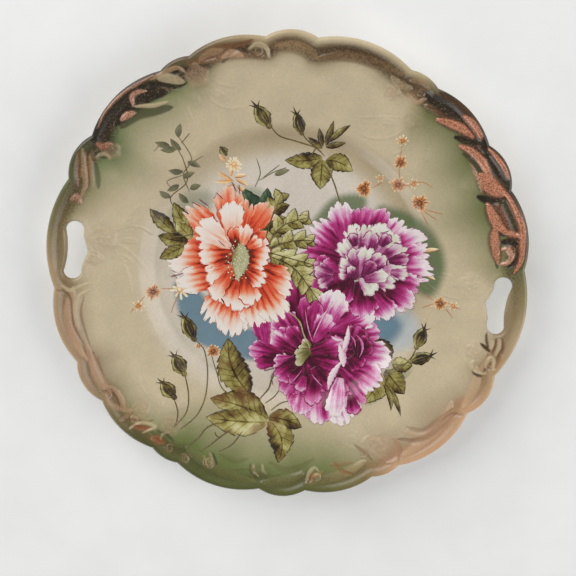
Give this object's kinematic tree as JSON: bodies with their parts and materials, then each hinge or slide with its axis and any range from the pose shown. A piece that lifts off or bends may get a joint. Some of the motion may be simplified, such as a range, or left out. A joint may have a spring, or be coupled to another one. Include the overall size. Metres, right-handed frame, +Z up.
{
  "type": "cake plate",
  "caption": "Round open-handled porcelain cake plate on a foot ring, with a scalloped embossed rim, pierced handles and a printed bouquet of flowers.",
  "frame": {"origin": "centre of the table side, on the plane that the foot ring stands on", "axes": "+Z up out of the face of the plate, +X from the centre to the right handle, +Y to the side that is uppermost when the plate is displayed"},
  "size_m": [0.2676, 0.2658, 0.025],
  "materials": {
    "ivory_glaze": "gloss",
    "foot_glaze": "gloss, bearing face unglazed",
    "rim_glaze": "gloss, shaded green and brown",
    "copper_lustre": "grained pink-copper lustre",
    "coral_enamel": "printed and painted enamel",
    "magenta_enamel": "printed and painted enamel",
    "leaf_enamel": "printed enamel",
    "gilt_enamel": "gilt and orange enamel"
  },
  "bodies": {
    "root": {"well_floor": "ivory_glaze", "cavetto": "ivory_glaze", "flange": "ivory_glaze", "foot_ring": "foot_glaze", "handle_right": "rim_glaze", "handle_left": "rim_glaze", "rim_upper_right": "rim_glaze", "rim_upper_left": "rim_glaze", "rim_lower_left": "rim_glaze", "rim_lower_right": "rim_glaze", "band_right": "copper_lustre", "band_upper_right": "copper_lustre", "band_upper_left": "copper_lustre", "band_left": "copper_lustre", "band_lower_left": "copper_lustre", "band_lower_right": "copper_lustre", "scroll_right": "copper_lustre", "scroll_upper_right": "copper_lustre", "scroll_upper_left": "copper_lustre", "scroll_left": "copper_lustre", "scroll_lower_left": "copper_lustre", "scroll_lower_right": "copper_lustre", "rose_right": "ivory_glaze", "rose_upper_right": "ivory_glaze", "rose_upper_left": "ivory_glaze", "rose_left": "ivory_glaze", "rose_lower_left": "ivory_glaze", "rose_lower_right": "ivory_glaze", "peony_coral": "coral_enamel", "peony_magenta_upper": "magenta_enamel", "peony_magenta_lower": "magenta_enamel", "foliage": "leaf_enamel", "rosebuds": "leaf_enamel", "gilt_sprigs": "gilt_enamel"}
  },
  "joints": []
}
